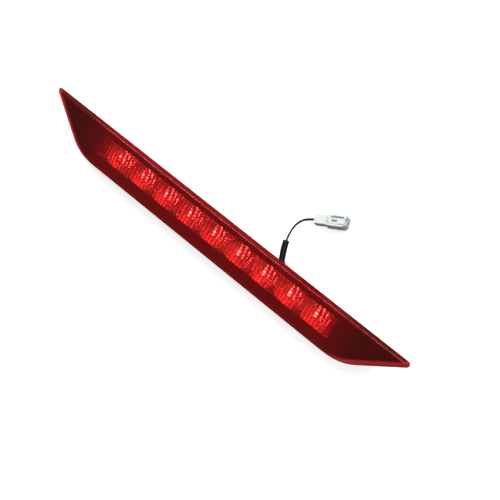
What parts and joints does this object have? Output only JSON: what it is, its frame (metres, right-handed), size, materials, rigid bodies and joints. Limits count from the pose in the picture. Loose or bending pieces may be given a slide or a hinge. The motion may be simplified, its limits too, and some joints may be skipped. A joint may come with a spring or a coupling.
{
  "type": "third brake light",
  "caption": "Long trapezium brake light for a tailgate or rear window: red outer lens over a row of reflector cups, black tray, short cable with a white connector.",
  "frame": {"origin": "on the plane that meets the car body, below the middle of the lens", "axes": "+Z is the way the light shines, +X runs along the lamp, +Y points to the long edge of the lens"},
  "size_m": [0.3776, 0.0945, 0.0242],
  "materials": {
    "red_lens": "gloss",
    "clear_lens": "gloss",
    "dark_surround": "satin",
    "metallised": "polished",
    "board": "satin",
    "led_body": "satin",
    "led_cap": "gloss",
    "chip_black": "matte",
    "ceramic_tan": "satin",
    "nylon_header": "satin",
    "screw_steel": "satin",
    "housing_black": "satin",
    "sealant": "satin",
    "insert_brass": "satin",
    "foam": "matte",
    "membrane": "matte",
    "cap_black": "satin",
    "grommet_rubber": "matte",
    "sleeve_black": "satin",
    "wire_black": "satin",
    "wire_pale": "satin",
    "connector_white": "satin",
    "contact_tin": "satin"
  },
  "bodies": {
    "lamp": {"outer_lens": "red_lens", "inner_lens": "clear_lens", "bezel": "dark_surround", "reflector_strip": "metallised", "circuit_board": "board", "led_packages": "led_body", "led_domes": "led_cap", "chip_resistors": "chip_black", "regulator_chip": "chip_black", "protection_diode": "chip_black", "capacitors": "ceramic_tan", "board_header": "nylon_header", "board_screws": "screw_steel", "rear_housing": "housing_black", "lens_sealant": "sealant", "threaded_inserts": "insert_brass", "mounting_gasket": "foam", "vent_membrane": "membrane", "breather_cap": "cap_black", "cable_grommet": "grommet_rubber", "cable_sleeve": "sleeve_black", "connector_housing": "connector_white", "connector_terminals": "contact_tin", "wire_black": "wire_black", "wire_white": "wire_pale"},
    "latch": {"connector_latch": "connector_white"},
    "retainer": {"connector_retainer": "connector_white"}
  },
  "joints": [
    {"name": "latch_flex", "type": "hinge", "parent": "lamp", "child": "latch", "pos_m": [0.0746, 0.0652, 0.01041], "axis": [-0.4325, 0.7965, -0.4226], "range_deg": [0, 3], "stiffness_Nm_per_rad": 0.5},
    {"name": "retainer_slide", "type": "slide", "parent": "lamp", "child": "retainer", "axis": [-0.4325, 0.7965, -0.4226], "range_m": [0, 0.0012]}
  ]
}
